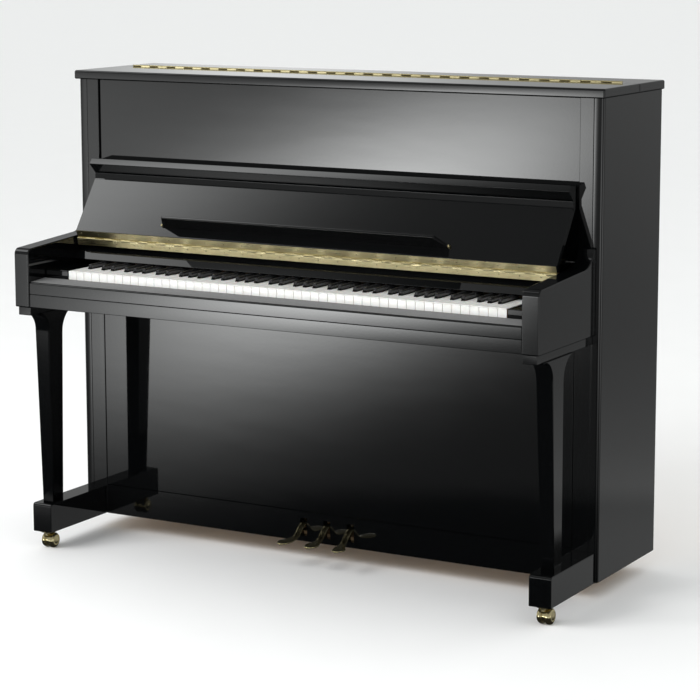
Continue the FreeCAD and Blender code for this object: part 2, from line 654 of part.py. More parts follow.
def hammers():
    """The hammer rail and, for each note, a shank and a felt head."""
    y, z = HAMMER_AXIS
    made = [box(-630, 630, y - 12, y - 4, z + 60, z + 78)]
    for x, _, _, _ in string_rows():
        shank = rod(x, y, z, 2.6, 122)
        felt = [(y - 10, z + 104), (y + 16, z + 108), (y + 21, z + 114), (y + 16, z + 120), (y - 10, z + 124)]
        head = prism_x(felt, x - 4.5, x + 4.5)
        butt = box(x - 4, x + 4, y - 3.5, y + 8, z - 14, z + 8)
        made.append(shank.fuse(head).fuse(butt))
    made[0] = made[0].cut(box(-640, 640, y - 3.4, y + 4, z, z + 200))
    return made


def dampers():
    """The damper rail and its felt heads, which rest close to the strings below the hammers."""
    y, z = DAMPER_AXIS
    made = [box(-640, 560, y - 4, y + 4, z - 6, z + 6)]
    for x, _, _, _ in string_rows()[:68]:
        made.append(box(x - 1, x + 1, y - 1, y + 1, z + 6, z + 90).fuse(
            box(x - 4, x + 4, y - 1, STRING_Y - 3, z + 80, z + 105)))
    return made


def build():
    """Make every piece and write it."""
    os.makedirs("parts", exist_ok=True)
    right = side_panel()
    save("side_right", right)
    save("side_left", mirrored(right))
    save("lid_front", lid(LID_FRONT, LID_SPLIT - LID_GAP, LID_FRONT))
    save("lid_rear", lid(LID_SPLIT + LID_GAP, LID_BACK, LID_BACK))
    save("lid_hinge_front", lid_hinge(-1))
    save("lid_hinge_rear", lid_hinge(1))
    upper_front = CASE_FRONT + RECESS
    save("upper_panel", box(-STILE_INNER + 1, STILE_INNER - 1, upper_front, upper_front + PANEL_THICK,
                            UPPER_FOOT, LID_UNDER - 1))
    save("lower_panel", box(-STILE_INNER + 8.5, STILE_INNER - 8.5, CASE_FRONT, CASE_FRONT + PANEL_THICK,
                            RAIL_TOP, BED_UNDER - 1))
    save("bottom_rail", bottom_rail())
    save("front_stiles", *front_stiles())
    save("cheek_right", arm())
    save("cheek_left", mirrored(arm()))
    legs = [leg(), arm_plate()]
    save("front_legs", *(legs + [mirrored(s) for s in legs]))
    save("toe_blocks", toe(), mirrored(toe()))
    save("bottom_board", bottom_board())
    save("key_bed", key_bed())
    slip = [(BED_FRONT, BED_TOP), (SLIP_BACK, BED_TOP), (SLIP_BACK, SLIP_TOP + SLIP_RISE),
            (BED_FRONT, SLIP_TOP)]
    save("key_slip", prism_x(slip, -ARM_IN + 0.5, ARM_IN - 0.5))
    key_edge = WHITE_COUNT * WHITE_PITCH / 2
    save("key_blocks", *both(key_edge + 1, ARM_IN - 0.5, KEY_FRONT, -110, BED_TOP, KEY_TOP))
    rails, pins = key_frame()
    save("key_frame", *(rails + pins))
    keys = all_keys()
    for pitch, name in enumerate(NAMES):
        group = [white_key(k) if k["white"] else black_key(k) for k in keys if k["pitch"] == pitch]
        save("keys_" + name, *group)
    save("nameboard", nameboard())
    save("fallboard_panel", fallboard_panel())
    save("fallboard_rail", fallboard_rail())
    save("fallboard_hinge_fixed", fallboard_hinge(False))
    save("fallboard_hinge_moving", fallboard_hinge(True))
    save("shelf_brackets", *shelf_brackets())
    save("music_shelf", music_shelf())
    for index, name in enumerate(("left", "middle", "right")):
        save("pedal_" + name, *pedal(index))
        save("pedal_rod_" + name, pedal_rod(index))
    rear_bodies = []
    for sign, name in ((-1, "left"), (1, "right")):
        body, wheels = caster(sign * CASTER_X, CASTER_Y, TOE_UNDER - 0.3, True)
        save("front_caster_" + name, body)
        save("front_wheels_" + name, wheels)
        body, wheels = caster(sign * REAR_CASTER[0], REAR_CASTER[1] - TRAIL, CASE_FLOOR, False)
        rear_bodies.append(body)
        save("rear_wheels_" + name, wheels)
    save("rear_caster_bodies", *rear_bodies)
    save("back_frame", *back_frame())
    save("soundboard", *soundboard())
    save("iron_plate", iron_plate())
    wires, tuning = strings_and_pins()
    save("strings", *wires)
    save("tuning_pins", *tuning)
    save("action_frame", *action_frame())
    save("hammers", *hammers())
    save("dampers", *dampers())
    save("mute_rail", box(-634, 634, 146, 149, 1040, 1062))


build()
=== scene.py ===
"""Upright piano: its finished surfaces, materials, studio and camera, on the packed model."""
import bpy
import numpy as np
from mathutils import Matrix, Vector


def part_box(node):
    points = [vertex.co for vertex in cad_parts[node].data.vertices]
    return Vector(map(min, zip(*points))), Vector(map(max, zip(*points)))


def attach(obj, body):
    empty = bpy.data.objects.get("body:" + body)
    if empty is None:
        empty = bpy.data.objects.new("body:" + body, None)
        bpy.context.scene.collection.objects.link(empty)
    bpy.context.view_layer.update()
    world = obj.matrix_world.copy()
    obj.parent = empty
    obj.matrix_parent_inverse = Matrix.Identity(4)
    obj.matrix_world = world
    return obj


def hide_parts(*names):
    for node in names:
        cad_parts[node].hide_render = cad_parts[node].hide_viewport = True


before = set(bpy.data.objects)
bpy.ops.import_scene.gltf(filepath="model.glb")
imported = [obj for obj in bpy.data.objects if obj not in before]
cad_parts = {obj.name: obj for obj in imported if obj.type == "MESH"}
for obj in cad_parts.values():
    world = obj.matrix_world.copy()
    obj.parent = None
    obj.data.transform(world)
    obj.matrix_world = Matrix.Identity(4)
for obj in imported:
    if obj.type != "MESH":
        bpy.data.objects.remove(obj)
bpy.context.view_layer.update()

bl_info = {
    "name": "Upright piano",
    "version": (1, 0, 0),
    "blender": (4, 5, 0),
    "location": "View3D > Sidebar > Piano",
    "description": "Builds the finished surfaces of an upright piano on its packed model",
    "category": "Object",
}

X, Y, Z = np.eye(3)
ALONG_X, ALONG_Y, ALONG_Z = (Y, Z, X), (X, Z, Y), (X, Y, Z)
MM = 0.001
NOTES = ("c", "c_sharp", "d", "d_sharp", "e", "f", "f_sharp", "g", "g_sharp", "a", "a_sharp", "b")


# ---- settings ------------------------------------------------------
def length(name, text, value):
    """A length in metres."""
    return bpy.props.FloatProperty(name=name, description=text, default=value, unit="LENGTH", precision=5)


def colour(name, text, value):
    """A colour without alpha."""
    return bpy.props.FloatVectorProperty(name=name, description=text, default=value, size=3, subtype="COLOR",
                                         min=0, max=1)


class PianoCaseSettings(bpy.types.PropertyGroup):
    """Edges and finish of the case."""
    edge: length("Edge", "Round of an ordinary edge of the case", 0.0013)
    side_round: length("Side round", "Round of the side panels' front edges", 0.009)
    lid_round: length("Lid round", "Round of the lid's upper edges", 0.005)
    arm_edge: length("Arm edge", "Round along the arms' edges", 0.003)
    nose: length("Arm nose", "Radius of the arms' round noses", 0.016)
    sweep: length("Arm sweep", "Radius of the hollow where an arm rises to the case", 0.062)
    shelf_up: length("Shelf height", "From the fallboard's hinge line up to the music shelf", 0.044)
    shelf_depth: length("Shelf depth", "From the music shelf's pivots to its free edge", 0.045)
    shelf_taper: length("Shelf taper", "How far the shelf's ends slant in towards its free edge", 0.020)
    polish: colour("Polish", "Colour of the black polish", (0.0014, 0.0016, 0.0018))


class PianoKeySettings(bpy.types.PropertyGroup):
    """Sizes and finish of the keys."""
    pitch: length("Pitch", "Distance from one white key to the next", 0.0235)
    gap: length("Gap", "Gap between two white keys", 0.0009)
    head: length("Head", "Full-width front part of a white key", 0.050)
    plate: length("Plate", "Thickness of a white key's covering", 0.0024)
    sharp: length("Sharp", "Width of a black key at its foot", 0.011)
    edge: length("Edge", "Round of a white key's edges", 0.0008)
    white: colour("White", "Colour of the white keys", (0.90, 0.90, 0.885))
    black: colour("Black", "Colour of the black keys", (0.010, 0.010, 0.011))


class PianoMetalSettings(bpy.types.PropertyGroup):
    """Hinges, screws, pedals and casters."""
    screw_pitch: length("Screw pitch", "Distance between the screws of a long hinge", 0.054)
    screw_radius: length("Screw radius", "Radius of a hinge screw's head", 0.0019)
    brass: colour("Brass", "Colour of the polished brass", (0.80, 0.71, 0.42))
    tarnish: colour("Tarnish", "Colour of the brass where it has dulled", (0.68, 0.58, 0.31))
    bronze: colour("Bronze", "Colour of the cast plate's bronze paint", (0.55, 0.38, 0.15))


class PianoInsideSettings(bpy.types.PropertyGroup):
    """Wood and felt inside and at the back."""
    beech: colour("Beech", "Colour of the plain wood", (0.52, 0.36, 0.20))
    spruce: colour("Spruce", "Colour of the soundboard", (0.68, 0.50, 0.28))
    felt: colour("Hammer felt", "Colour of the hammers' felt", (0.72, 0.69, 0.60))
    mute: colour("Mute felt", "Colour of the mute felt", (0.16, 0.22, 0.14))


class PianoStudioSettings(bpy.types.PropertyGroup):
    """Floor, lights and camera."""
    floor: colour("Floor", "Colour of the floor", (0.93, 0.93, 0.93))
    ambient: bpy.props.FloatProperty(name="Ambient", description="Brightness of the room", default=1.0, min=0)
    key_power: bpy.props.FloatProperty(name="Key light", description="Power of the large light", default=150.0,
                                       min=0, unit="POWER")
    lens: bpy.props.FloatProperty(name="Lens", description="Focal length of the camera", default=122.57,
                                  unit="CAMERA")


SETTINGS = {"piano_case": PianoCaseSettings, "piano_keys": PianoKeySettings, "piano_metal": PianoMetalSettings,
            "piano_inside": PianoInsideSettings, "piano_studio": PianoStudioSettings}


# ---- surfaces ------------------------------------------------------
def unit(v):
    """v over its own length."""
    return v / np.maximum(np.linalg.norm(v, axis=-1, keepdims=True), 1e-12)


def rounded(points, radius, steps=4):
    """A closed outline with its corners rounded.

    With unit directions a and b from a corner P to its neighbours, and h half the angle between them, the
    arc's centre is P + r / sin(h) along a + b. It runs from P + a r / tan(h) to P + b r / tan(h), each of its
    points the sine-weighted mean of those two as seen from the centre.
    """
    p = np.asarray(points, float)
    r = np.broadcast_to(np.asarray(radius, float), len(p))[:, None]
    a, b = unit(np.roll(p, 1, 0) - p), unit(np.roll(p, -1, 0) - p)
    h = np.arccos(np.clip((a * b).sum(1, keepdims=True), -1, 1)) / 2
    centre = p + unit(a + b) * r / np.sin(h)
    first, last = p + a * r / np.tan(h) - centre, p + b * r / np.tan(h) - centre
    turn = (np.pi - 2 * h)[:, None]
    t = np.linspace(0, 1, steps + 1)[None, :, None]
    arc = (np.sin((1 - t) * turn) * first[:, None] + np.sin(t * turn) * last[:, None]) / np.sin(turn)
    return (centre[:, None] + arc).reshape(-1, 2)


def moved_in(points, radius, distance, steps=3):
    """A sharp-cornered outline moved inwards by each distance and rounded afresh, one ring for each.

    A corner goes along d (m + n) / (1 + m . n), m and n the inward normals of its two edges. Its radius
    shrinks by d where the outline turns inwards and grows by d where it turns outwards, so the rings stay
    evenly spaced round every corner.
    """
    p = np.asarray(points, float)
    radius = np.broadcast_to(np.asarray(radius, float), len(p))
    x, y = p.T
    if (x * np.roll(y, -1) - np.roll(x, -1) * y).sum() < 0:
        p, radius = p[::-1], radius[::-1]
    edge = unit(np.roll(p, -1, 0) - p)
    n = np.stack((-edge[:, 1], edge[:, 0]), 1)
    m = np.roll(n, 1, 0)
    shift = (m + n) / (1 + (m * n).sum(1, keepdims=True))
    outward = np.sign(m[:, 0] * n[:, 1] - m[:, 1] * n[:, 0])
    least = 0.00002
    return np.stack([rounded(p + shift * d, np.maximum(radius - outward * d, least), steps) for d in distance])


def carried(points, radius, start, end, soft, along=ALONG_X, origin=(0, 0, 0), steps=3):
    """Rings of an outline, its corners rounded by radius, carried along an axis with both ends rounded.

    At turn t from 0 to 90 degrees the ring stands soft (1 - cos t) from the end, and the outline is moved
    in by soft (1 - sin t). soft may be a pair, for the two ends.
    """
    t = np.linspace(0, np.pi / 2, steps + 1)
    first, last = np.broadcast_to(soft, 2)
    inset = np.concatenate((first * (1 - np.sin(t)), last * (1 - np.sin(t[::-1]))))
    rings = moved_in(points, radius, inset, steps)
    w = np.concatenate((start + first * (1 - np.cos(t)), end - last * (1 - np.cos(t[::-1]))))
    u, v, axis = along
    return np.asarray(origin) + rings[..., :1] * u + rings[..., 1:] * v + w[:, None, None] * axis


def block(low, high, soft=0.001, along=ALONG_X, corners=None, steps=3):
    """A box with rounded edges: its rectangle across the axis, carried from one end to the other."""
    (a, b), (c, d), (start, end) = [(np.dot(low, k), np.dot(high, k)) for k in along]
    radius = np.max(soft) if corners is None else corners
    return carried([(a, c), (b, c), (b, d), (a, d)], radius, start, end, soft, along, steps=steps)


def turned(profile, centre, along=ALONG_Z, count=32):
    """A (radius, height) profile turned about an axis through the centre.

    A point is centre + r cos(a) u + r sin(a) v + h w, for count angles a.
    """
    r, h = np.asarray(profile, float).T
    a = np.linspace(0, 2 * np.pi, count, endpoint=False)
    u, v, w = along
    ring = np.cos(a)[:, None] * u + np.sin(a)[:, None] * v
    return np.asarray(centre) + r[:, None, None] * ring + h[:, None, None] * w


def bar(start, end, radius, soft=0.0004, count=16):
    """A round bar between two points with softened ends, turned about the line that joins them."""
    start, end = np.asarray(start, float), np.asarray(end, float)
    w = unit(end - start)
    u = unit(np.cross(w, X if abs(w[0]) < 0.9 else Y))
    size = np.linalg.norm(end - start)
    profile = [(radius - soft, 0), (radius, soft), (radius, size - soft), (radius - soft, size)]
    return turned(profile, start, (u, np.cross(w, u), w), count)


def mirrored(rings):
    """The same rings at the other end of the piano."""
    return rings * np.array((-1.0, 1.0, 1.0))


def shell(rings):
    """Points, four-sided faces, two end faces and normals of a closed skin over the rings.

    The faces are turned outwards: the sum over them of middle . area vector is positive. A point's normal is
    the sum of its faces' area vectors, so wide flats stay flat up to their rounded edges.
    """
    count, size = rings.shape[:2]
    points = rings.reshape(-1, 3)
    index = np.arange(count * size).reshape(count, size)
    near, far = index[:-1], index[1:]
    quads = np.stack((near, np.roll(near, -1, 1), np.roll(far, -1, 1), far), -1).reshape(-1, 4)
    ends = np.stack((index[0][::-1], index[-1]))
    c, e = points[quads], points[ends]
    area = np.cross(c[:, 2] - c[:, 0], c[:, 3] - c[:, 1]) / 2
    end_area = np.cross(e, np.roll(e, -1, 1)).sum(1) / 2
    if (c.mean(1) * area).sum() + (e.mean(1) * end_area).sum() < 0:
        quads, ends, area, end_area = quads[:, ::-1], ends[:, ::-1], -area, -end_area
    normals = np.zeros_like(points)
    np.add.at(normals, quads, area[:, None])
    np.add.at(normals, ends, end_area[:, None])
    return points, quads, ends, unit(normals)


def piece(name, parts, materials, body, nodes=()):
    """One object from closed shells, riding on a body. parts holds (rings, material number) pairs."""
    points, faces, normals, numbers, base = [], [], [], [], 0
    for rings, number in parts:
        p, quads, ends, n = shell(rings)
        points.append(p)
        normals.append(n)
        faces += (quads + base).tolist() + (ends + base).tolist()
        numbers.append(np.full(len(quads) + len(ends), number))
        base += len(p)
    mesh = bpy.data.meshes.new(name)
    mesh.from_pydata(np.concatenate(points), [], faces)
    for material in materials:
        mesh.materials.append(material)
    mesh.polygons.foreach_set("material_index", np.concatenate(numbers))
    mesh.polygons.foreach_set("use_smooth", np.ones(len(faces), bool))
    mesh.normals_split_custom_set_from_vertices(np.concatenate(normals))
    mesh.update()
    made = bpy.data.objects.new(name, mesh)
    bpy.context.scene.collection.objects.link(made)
    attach(made, body)
    if nodes:
        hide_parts(*nodes)
    return made


def corners(node):
    """Lowest and highest corner of a packed node, as arrays."""
    return [np.array(corner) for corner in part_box(node)]


def paint(material, *nodes):
    """Gives packed nodes that keep their shape a finished material."""
    for name in nodes:
        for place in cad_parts[name].material_slots:
            place.material = material


# ---- materials -----------------------------------------------------
def add(tree, kind, inputs=None, **settings):
    """One node with its settings and its inputs, each a value or another node's socket."""
    made = tree.nodes.new(kind)
    for key, value in settings.items():
        setattr(made, key, value)
    for key, value in (inputs or {}).items():
        if isinstance(value, bpy.types.NodeSocket):
            tree.links.new(value, made.inputs[key])
        else:
            made.inputs[key].default_value = value
    return made


def placed(tree, stretch=(1, 1, 1), turn=(0, 0, 0)):
    """Object coordinates, stretched and turned."""
    coords = add(tree, "ShaderNodeTexCoord").outputs["Object"]
    inputs = {"Vector": coords, "Scale": stretch, "Rotation": turn}
    return add(tree, "ShaderNodeMapping", inputs).outputs["Vector"]


def noise(tree, scale, stretch=(1, 1, 1), detail=3.0, rough=0.5, turn=(0, 0, 0)):
    """Noise over Object coordinates, from about 0.3 to 0.7."""
    return add(tree, "ShaderNodeTexNoise", {"Vector": placed(tree, stretch, turn), "Scale": scale,
                                            "Detail": detail, "Roughness": rough}).outputs["Fac"]


def spread(tree, factor, low, high, start=0.3, end=0.7):
    """The factor's range from start to end, spread over low to high."""
    return add(tree, "ShaderNodeMapRange", {"Value": factor, "From Min": start, "From Max": end,
                                            "To Min": low, "To Max": high}).outputs["Result"]


def mixed(tree, factor, first, second):
    """One colour turning into another as the factor goes from 0 to 1."""
    pair = {6 + i: value if isinstance(value, bpy.types.NodeSocket) else (*value, 1)
            for i, value in enumerate((first, second))}
    return add(tree, "ShaderNodeMix", {0: factor, **pair}, data_type="RGBA").outputs[2]


def bumps(tree, *layers):
    """A normal from layers of (height, distance in metres)."""
    normal = None
    for height, distance in layers:
        inputs = {"Height": height, "Distance": distance, "Strength": 1.0}
        if normal:
            inputs["Normal"] = normal
        normal = add(tree, "ShaderNodeBump", inputs).outputs["Normal"]
    return normal


def surface(name, base, roughness, normal=None, **fixed):
    """A material: base, roughness and normal come from functions of the tree, the rest are plain values."""
    if name in bpy.data.materials:
        return bpy.data.materials[name]
    material = bpy.data.materials.new(name)
    material.use_nodes = True
    tree = material.node_tree
    shader = tree.nodes["Principled BSDF"]
    for key, value in fixed.items():
        shader.inputs[key.replace("_", " ")].default_value = value
    for key, make in (("Base Color", base), ("Roughness", roughness), ("Normal", normal)):
        if make:
            tree.links.new(make(tree), shader.inputs[key])
    return material


def black_polish():
    """Deep black polyester: almost mirror-smooth, with a little orange peel, slow waves and fine dust."""
    ink = np.array(bpy.context.scene.piano_case.polish)
    return surface(
        "black_polish_gloss",
        lambda t: mixed(t, spread(t, noise(t, 420.0, detail=1.0), 0, 1, 0.62, 0.80), ink, ink * 2 + 0.0015),
        lambda t: spread(t, noise(t, 7.0, (0.6, 1, 1.6), 5.0, 0.62), 0.018, 0.060),
        lambda t: bumps(t, (noise(t, 5.0, (0.5, 1, 2.2), 2.0), 0.00007),
                        (noise(t, 170.0, detail=1.0), 0.000006)),
        IOR=1.5)


def white_plastic():
    """Key covering: hard and glossy, faintly mottled and duller where fingers rest."""
    white = np.array(bpy.context.scene.piano_keys.white)
    return surface(
        "white_key_plastic",
        lambda t: mixed(t, spread(t, noise(t, 60.0, (1, 0.3, 1), 4.0), 0, 1),
                        white, white * (0.965, 0.955, 0.93)),
        lambda t: spread(t, noise(t, 35.0, (1, 0.5, 1), 4.0), 0.10, 0.24),
        lambda t: bumps(t, (noise(t, 700.0, detail=2.0), 0.000004)),
        IOR=1.52, Subsurface_Weight=0.06, Subsurface_Scale=0.002)


def black_plastic():
    """Black keys: satin, with a fine grain along the key."""
    black = np.array(bpy.context.scene.piano_keys.black)
    return surface(
        "black_key_satin",
        lambda t: mixed(t, spread(t, noise(t, 90.0, (1, 0.15, 1), 4.0), 0, 1), black, black * 1.8 + 0.002),
        lambda t: spread(t, noise(t, 160.0, (1, 0.12, 1), 4.0), 0.17, 0.36),
        lambda t: bumps(t, (noise(t, 900.0, (1, 0.08, 1), 2.0), 0.000010)),
        IOR=1.5)


def brass(name="polished_brass", brushed=(0.05, 1, 1), dull=0.0, rough=0.14):
    """Brass: fine lines along one direction, and soft dull patches."""
    metal = bpy.context.scene.piano_metal
    bright, tarnish = np.array(metal.brass), np.array(metal.tarnish)
    return surface(
        name,
        lambda t: mixed(t, spread(t, noise(t, 30.0, detail=6.0, rough=0.65), 0, 1, 0.42 - dull, 0.78 - dull),
                        bright, tarnish),
        lambda t: spread(t, noise(t, 500.0, brushed, 3.0), rough + dull, rough + dull + 0.12),
        lambda t: bumps(t, (noise(t, 1400.0, brushed, 2.0), 0.000006), (noise(t, 40.0), 0.00004)),
        Metallic=1.0)


def steel(name="plain_steel", tint=(0.52, 0.53, 0.55), low=0.22, high=0.38):
    """Drawn or turned steel with a faint bloom."""
    tint = np.array(tint)
    return surface(
        name,
        lambda t: mixed(t, spread(t, noise(t, 80.0, detail=4.0), 0, 1), tint, tint * 0.62),
        lambda t: spread(t, noise(t, 260.0, detail=3.0), low, high),
        lambda t: bumps(t, (noise(t, 1800.0, detail=1.0), 0.000006)),
        Metallic=1.0)


def wood(name, tint, grain=(18.0, 18.0, 1.1), ring=14.0, turn=(0, 0, 0), gloss=0.42):
    """Plain planed wood: wavering bands of early and late growth, fine pores, both long along the grain."""
    tint = np.array(tint)

    def bands(t):
        warp = noise(t, 2.2, tuple(g / 12 for g in grain), 3.0, turn=turn)
        along = placed(t, tuple(g / 18 for g in grain), turn)
        wave = add(t, "ShaderNodeTexWave", {"Vector": along, "Scale": ring, "Distortion": 5.0, "Detail": 3.0,
                                            "Detail Scale": 1.2}, bands_direction="X").outputs["Fac"]
        return add(t, "ShaderNodeMath", {0: wave, 1: warp}, operation="MULTIPLY").outputs[0]

    def coloured(t):
        soft = mixed(t, spread(t, bands(t), 0, 1, 0.05, 0.62), tint, tint * (0.74, 0.66, 0.56))
        pores = spread(t, noise(t, 26.0, grain, 3.0), 0, 0.5, 0.55, 0.75)
        return mixed(t, pores, soft, tint * (0.52, 0.42, 0.33))

    return surface(name, coloured, lambda t: spread(t, noise(t, 14.0, grain, 4.0), gloss, gloss + 0.25),
                   lambda t: bumps(t, (noise(t, 30.0, grain, 3.0), 0.00018)), IOR=1.45)


def cast_bronze():
    """The plate's bronze paint over a slightly rough casting."""
    bronze = np.array(bpy.context.scene.piano_metal.bronze)
    return surface(
        "bronze_painted_iron",
        lambda t: mixed(t, spread(t, noise(t, 320.0, detail=2.0), 0, 1), bronze, bronze * 0.62),
        lambda t: spread(t, noise(t, 60.0, detail=4.0), 0.30, 0.48),
        lambda t: bumps(t, (noise(t, 300.0, detail=4.0), 0.00012)),
        Metallic=0.75)


def felt(name, tint):
    """Pressed wool felt: matt, mottled and hairy."""
    tint = np.array(tint)
    return surface(
        name,
        lambda t: mixed(t, spread(t, noise(t, 420.0, detail=6.0, rough=0.7), 0, 1), tint, tint * 0.72),
        lambda t: spread(t, noise(t, 300.0), 0.86, 0.98),
        lambda t: bumps(t, (noise(t, 1500.0, detail=5.0, rough=0.75), 0.00022)),
        Sheen_Weight=0.35, Sheen_Roughness=0.6)


def copper_and_steel():
    """Strings: copper-wound towards the bass end, bare steel beyond."""
    def tint(t):
        parts = add(t, "ShaderNodeSeparateXYZ", {0: placed(t)})
        past = spread(t, parts.outputs["X"], 0, 1, -0.262, -0.258)
        return mixed(t, past, (0.66, 0.33, 0.19), (0.62, 0.63, 0.65))

    def winding(t):
        ring = add(t, "ShaderNodeTexWave", {"Vector": placed(t), "Scale": 190.0}, bands_direction="Z")
        return bumps(t, (ring.outputs["Fac"], 0.00015))

    return surface("strings_copper_and_steel", tint, lambda t: spread(t, noise(t, 200.0), 0.24, 0.36), winding,
                   Metallic=1.0)


def inside(name):
    """One of the inside colours."""
    return getattr(bpy.context.scene.piano_inside, name)


def polished(name, node, rings, body="case"):
    """A black polished object from closed shells, in place of one packed node."""
    return piece(name, [(ring, 0) for ring in rings], [black_polish()], body, [node])


# ---- case ----------------------------------------------------------
class PianoSides(bpy.types.Operator):
    """Side panels with rounded front edges, and the stiles beside the front panels."""
    bl_idname = "piano.sides"
    bl_label = "Sides and stiles"

    def execute(self, context):
        case = context.scene.piano_case
        low, high = corners("side_right")
        rings = block(low, high, case.edge, ALONG_Z, (case.edge, case.side_round, case.edge, case.edge))
        polished("side_panel_right", "side_right", [rings])
        polished("side_panel_left", "side_left", [mirrored(rings)])
        low, high = corners("front_stiles")
        bed, upper = corners("key_bed")[0][2], corners("upper_panel")[1][0] + 0.001
        lower = upper - 0.007
        outline = [(lower, low[2]), (high[0], low[2]), (high[0], high[2]), (upper, high[2]), (upper, bed),
                   (lower, bed)]
        stile = carried(outline, case.edge, low[1], high[1], case.edge, ALONG_Y)
        polished("front_posts", "front_stiles", [stile, mirrored(stile)])
        return {"FINISHED"}


class PianoPanels(bpy.types.Operator):
    """Upper panel, lower panel and the slotted bottom rail."""
    bl_idname = "piano.panels"
    bl_label = "Front panels"

    def execute(self, context):
        soft = context.scene.piano_case.edge
        for node in ("upper_panel", "lower_panel"):
            polished(node + "_polished", node, [block(*corners(node), soft, ALONG_Y)])
        paint(black_polish(), "bottom_rail")
        return {"FINISHED"}


class PianoLid(bpy.types.Operator):
    """The lid's front and rear parts, with soft upper edges and a rebate for each hinge leaf."""
    bl_idname = "piano.lid"
    bl_label = "Lid"

    def execute(self, context):
        """The boards' middle stretch has the rebate, and a plain stretch closes each end."""
        case = context.scene.piano_case
        under, big, small, tight, joint = case.edge * 2, case.lid_round, case.edge * 0.6, 0.0003, 0.00005
        reach, leaf, hinge_half, end_soft = 0.0142, 0.0012, 0.7025, big - 0.001
        for node, body in (("lid_front", "lid"), ("lid_rear", "case")):
            low, high = corners(node)
            outer, inner, step = ((low[1], high[1], high[1] - reach) if body == "lid" else
                                  (high[1], low[1], low[1] + reach))
            plain = [(outer, low[2]), (inner, low[2]), (inner, high[2]), (outer, high[2])]
            cut = plain[:2] + [(inner, high[2] - leaf), (step, high[2] - leaf), (step, high[2])] + plain[3:]
            parts = [carried(cut, (under, small, tight, tight, tight, big), -hinge_half, hinge_half, joint,
                             steps=5)]
            for start, end, soft in ((-high[0], -hinge_half, (end_soft, joint)),
                                     (hinge_half, high[0], (joint, end_soft))):
                parts.append(carried(plain, (under, small, small, big), start, end, soft, steps=5))
            polished(node + "_board", node, parts, body)
        return {"FINISHED"}


class PianoArms(bpy.types.Operator):
    """Arms: a level board with a round nose that sweeps up to the case in a hollow curve."""
    bl_idname = "piano.arms"
    bl_label = "Arms"

    def execute(self, context):
        case = context.scene.piano_case
        low, high = corners("cheek_right")
        front, under, back = low[1], low[2], high[1]
        slope = np.array((1.0, 0.0573))
        nose = (front, high[2] - 0.0607)
        hollow = nose + slope * 0.2874
        outline = [(front, under), nose, tuple(hollow), (back - 0.0080, high[2] - 0.0045), (back, high[2]),
                   (back, under)]
        radii = (case.arm_edge, case.nose, case.sweep, 0.004, 0.0015, 0.0015)
        rings = carried(outline, radii, low[0], high[0], case.arm_edge, ALONG_X, steps=9)
        polished("arm_right", "cheek_right", [rings])
        polished("arm_left", "cheek_left", [mirrored(rings)])
        return {"FINISHED"}


class PianoLegs(bpy.types.Operator):
    """Front legs, tapered and flared under the plates that join them to the arms."""
    bl_idname = "piano.legs"
    bl_label = "Legs"

    def execute(self, context):
        """The section at height z is a rounded rectangle. Its front and inner faces lean with z, and above the
        flares' feet its front and back go out by r - sqrt(r^2 - (z - foot)^2)."""
        (_, toe), (low, high) = corners("toe_blocks"), corners("front_legs")
        foot, plate_z = toe[2], corners("cheek_right")[0][2] - 0.021
        outer, inner_foot, inner_head = 0.7245, 0.691, 0.681
        front_foot, front_head, back = -0.234, -0.253, -0.191
        front_r, back_r = 0.046, 0.058
        turn = np.linspace(0, np.pi / 2, 15)[1:]
        bend = plate_z - back_r
        z = np.concatenate((np.linspace(foot, bend - 0.001, 5), bend + back_r * np.sin(turn)))
        share = np.clip((z - foot) / (0.600 - foot), 0, 1)
        flare = [r - np.sqrt(np.maximum(r * r - np.clip(z - plate_z + r, 0, r) ** 2, 0))
                 for r in (front_r, back_r)]
        front = front_foot + (front_head - front_foot) * share - flare[0]
        rear = back + flare[1]
        inner = inner_foot + (inner_head - inner_foot) * share
        square = rounded([(0, 0), (1, 0), (1, 1), (0, 1)], 0.06, 4)
        x = inner[:, None] + (outer - inner)[:, None] * square[:, 0]
        y = front[:, None] + (rear - front)[:, None] * square[:, 1]
        leg = np.stack((x, y, np.broadcast_to(z[:, None], x.shape)), -1)
        plate = block((0.682, low[1], plate_z), (0.719, high[1], high[2]), 0.0015, ALONG_Y)
        polished("legs_and_plates", "front_legs", [leg, mirrored(leg), plate, mirrored(plate)])
        return {"FINISHED"}


class PianoToes(bpy.types.Operator):
    """Toe blocks under the legs."""
    bl_idname = "piano.toes"
    bl_label = "Toes"

    def execute(self, context):
        low, high = corners("toe_blocks")
        edge = context.scene.piano_case.edge
        toe = block((0.676, low[1], low[2]), high, 0.002, ALONG_X, (edge, edge, edge, 0.007), steps=5)
        polished("toes", "toe_blocks", [toe, mirrored(toe)])
        return {"FINISHED"}


